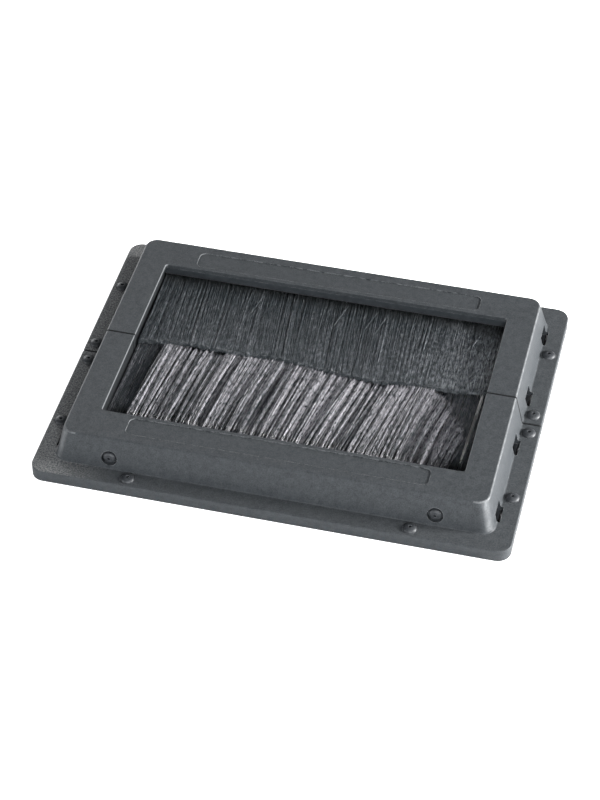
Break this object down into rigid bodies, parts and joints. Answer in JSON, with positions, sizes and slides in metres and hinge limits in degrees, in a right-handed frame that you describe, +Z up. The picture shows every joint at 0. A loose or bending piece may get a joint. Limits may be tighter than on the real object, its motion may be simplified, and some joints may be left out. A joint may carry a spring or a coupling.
{
  "type": "raised floor grommet",
  "caption": "Rectangular surface-mounted floor grommet: a flanged, raised two-part frame whose cable opening is closed by opposed rows of brush filaments.",
  "frame": {"origin": "middle of the cable opening, on the floor that the flange rests on", "axes": "+Z up out of the floor, X along the grommet's long side, the seam between the halves lies along X at Y = 0"},
  "size_m": [0.33, 0.248, 0.032],
  "materials": {
    "frame_plastic": "fine moulded texture",
    "carrier_plastic": "plain moulded",
    "channel_metal": "rolled sheet",
    "wire_steel": "drawn wire",
    "screw_steel": "black finish",
    "filaments": "glossy nylon filaments"
  },
  "bodies": {
    "root": {"frame_half_front": "frame_plastic", "frame_half_back": "frame_plastic", "brush_carrier_front": "carrier_plastic", "brush_carrier_back": "carrier_plastic", "brush_channel_front": "channel_metal", "brush_channel_back": "channel_metal", "core_wire_front": "wire_steel", "core_wire_back": "wire_steel", "wall_screw_front_right": "screw_steel", "wall_screw_front_left": "screw_steel", "wall_screw_back_left": "screw_steel", "wall_screw_back_right": "screw_steel", "filament_row_front": "filaments", "filament_row_back": "filaments"}
  },
  "joints": []
}
